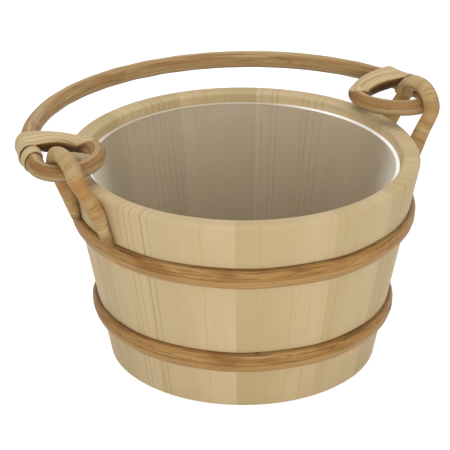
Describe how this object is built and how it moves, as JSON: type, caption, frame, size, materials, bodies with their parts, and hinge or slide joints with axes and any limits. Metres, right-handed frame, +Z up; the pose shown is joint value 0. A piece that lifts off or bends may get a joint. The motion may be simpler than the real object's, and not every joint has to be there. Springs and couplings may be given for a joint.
{
  "type": "sauna bucket",
  "caption": "Tapered wooden stave bucket bound by rattan hoops, with a loose plastic liner and a rattan bail that swings in rattan ears.",
  "frame": {"origin": "middle of the base's underside, which is lifted off the floor by the staves' ends", "axes": "+Z up along the bucket's axis, +X towards the right ear, +Y towards the folded-back bail"},
  "size_m": [0.3312, 0.2871, 0.1893],
  "materials": {
    "softwood": "planed pale softwood, oiled",
    "brown_rattan": "smoked rattan with its skin on",
    "pale_rattan": "peeled rattan, waxed",
    "liner_plastic": "smooth translucent grey",
    "steel": "zinc plated"
  },
  "bodies": {
    "bucket": {"stave_01": "softwood", "stave_02": "softwood", "stave_03": "softwood", "stave_04": "softwood", "stave_05": "softwood", "stave_06": "softwood", "stave_07": "softwood", "stave_08": "softwood", "stave_09": "softwood", "stave_10": "softwood", "stave_11": "softwood", "stave_12": "softwood", "base_board_left": "softwood", "base_board_middle": "softwood", "base_board_right": "softwood", "upper_hoop": "brown_rattan", "lower_hoop": "brown_rattan", "upper_hoop_nail_1": "steel", "upper_hoop_nail_2": "steel", "lower_hoop_nail_1": "steel", "lower_hoop_nail_2": "steel", "left_ear": "pale_rattan", "right_ear": "pale_rattan", "left_ear_front_screw": "steel", "left_ear_back_screw": "steel", "right_ear_front_screw": "steel", "right_ear_back_screw": "steel"},
    "bail": {"bail": "brown_rattan"},
    "liner": {"liner": "liner_plastic"}
  },
  "joints": [
    {"name": "bail_swing", "type": "hinge", "parent": "bucket", "child": "bail", "pos_m": [0, -0.006, 0.162], "axis": [1, 0, 0], "range_deg": [-8, 189]},
    {"name": "liner_lift", "type": "slide", "parent": "bucket", "child": "liner", "axis": [0, 0, 1], "range_m": [0, 0.008]}
  ]
}
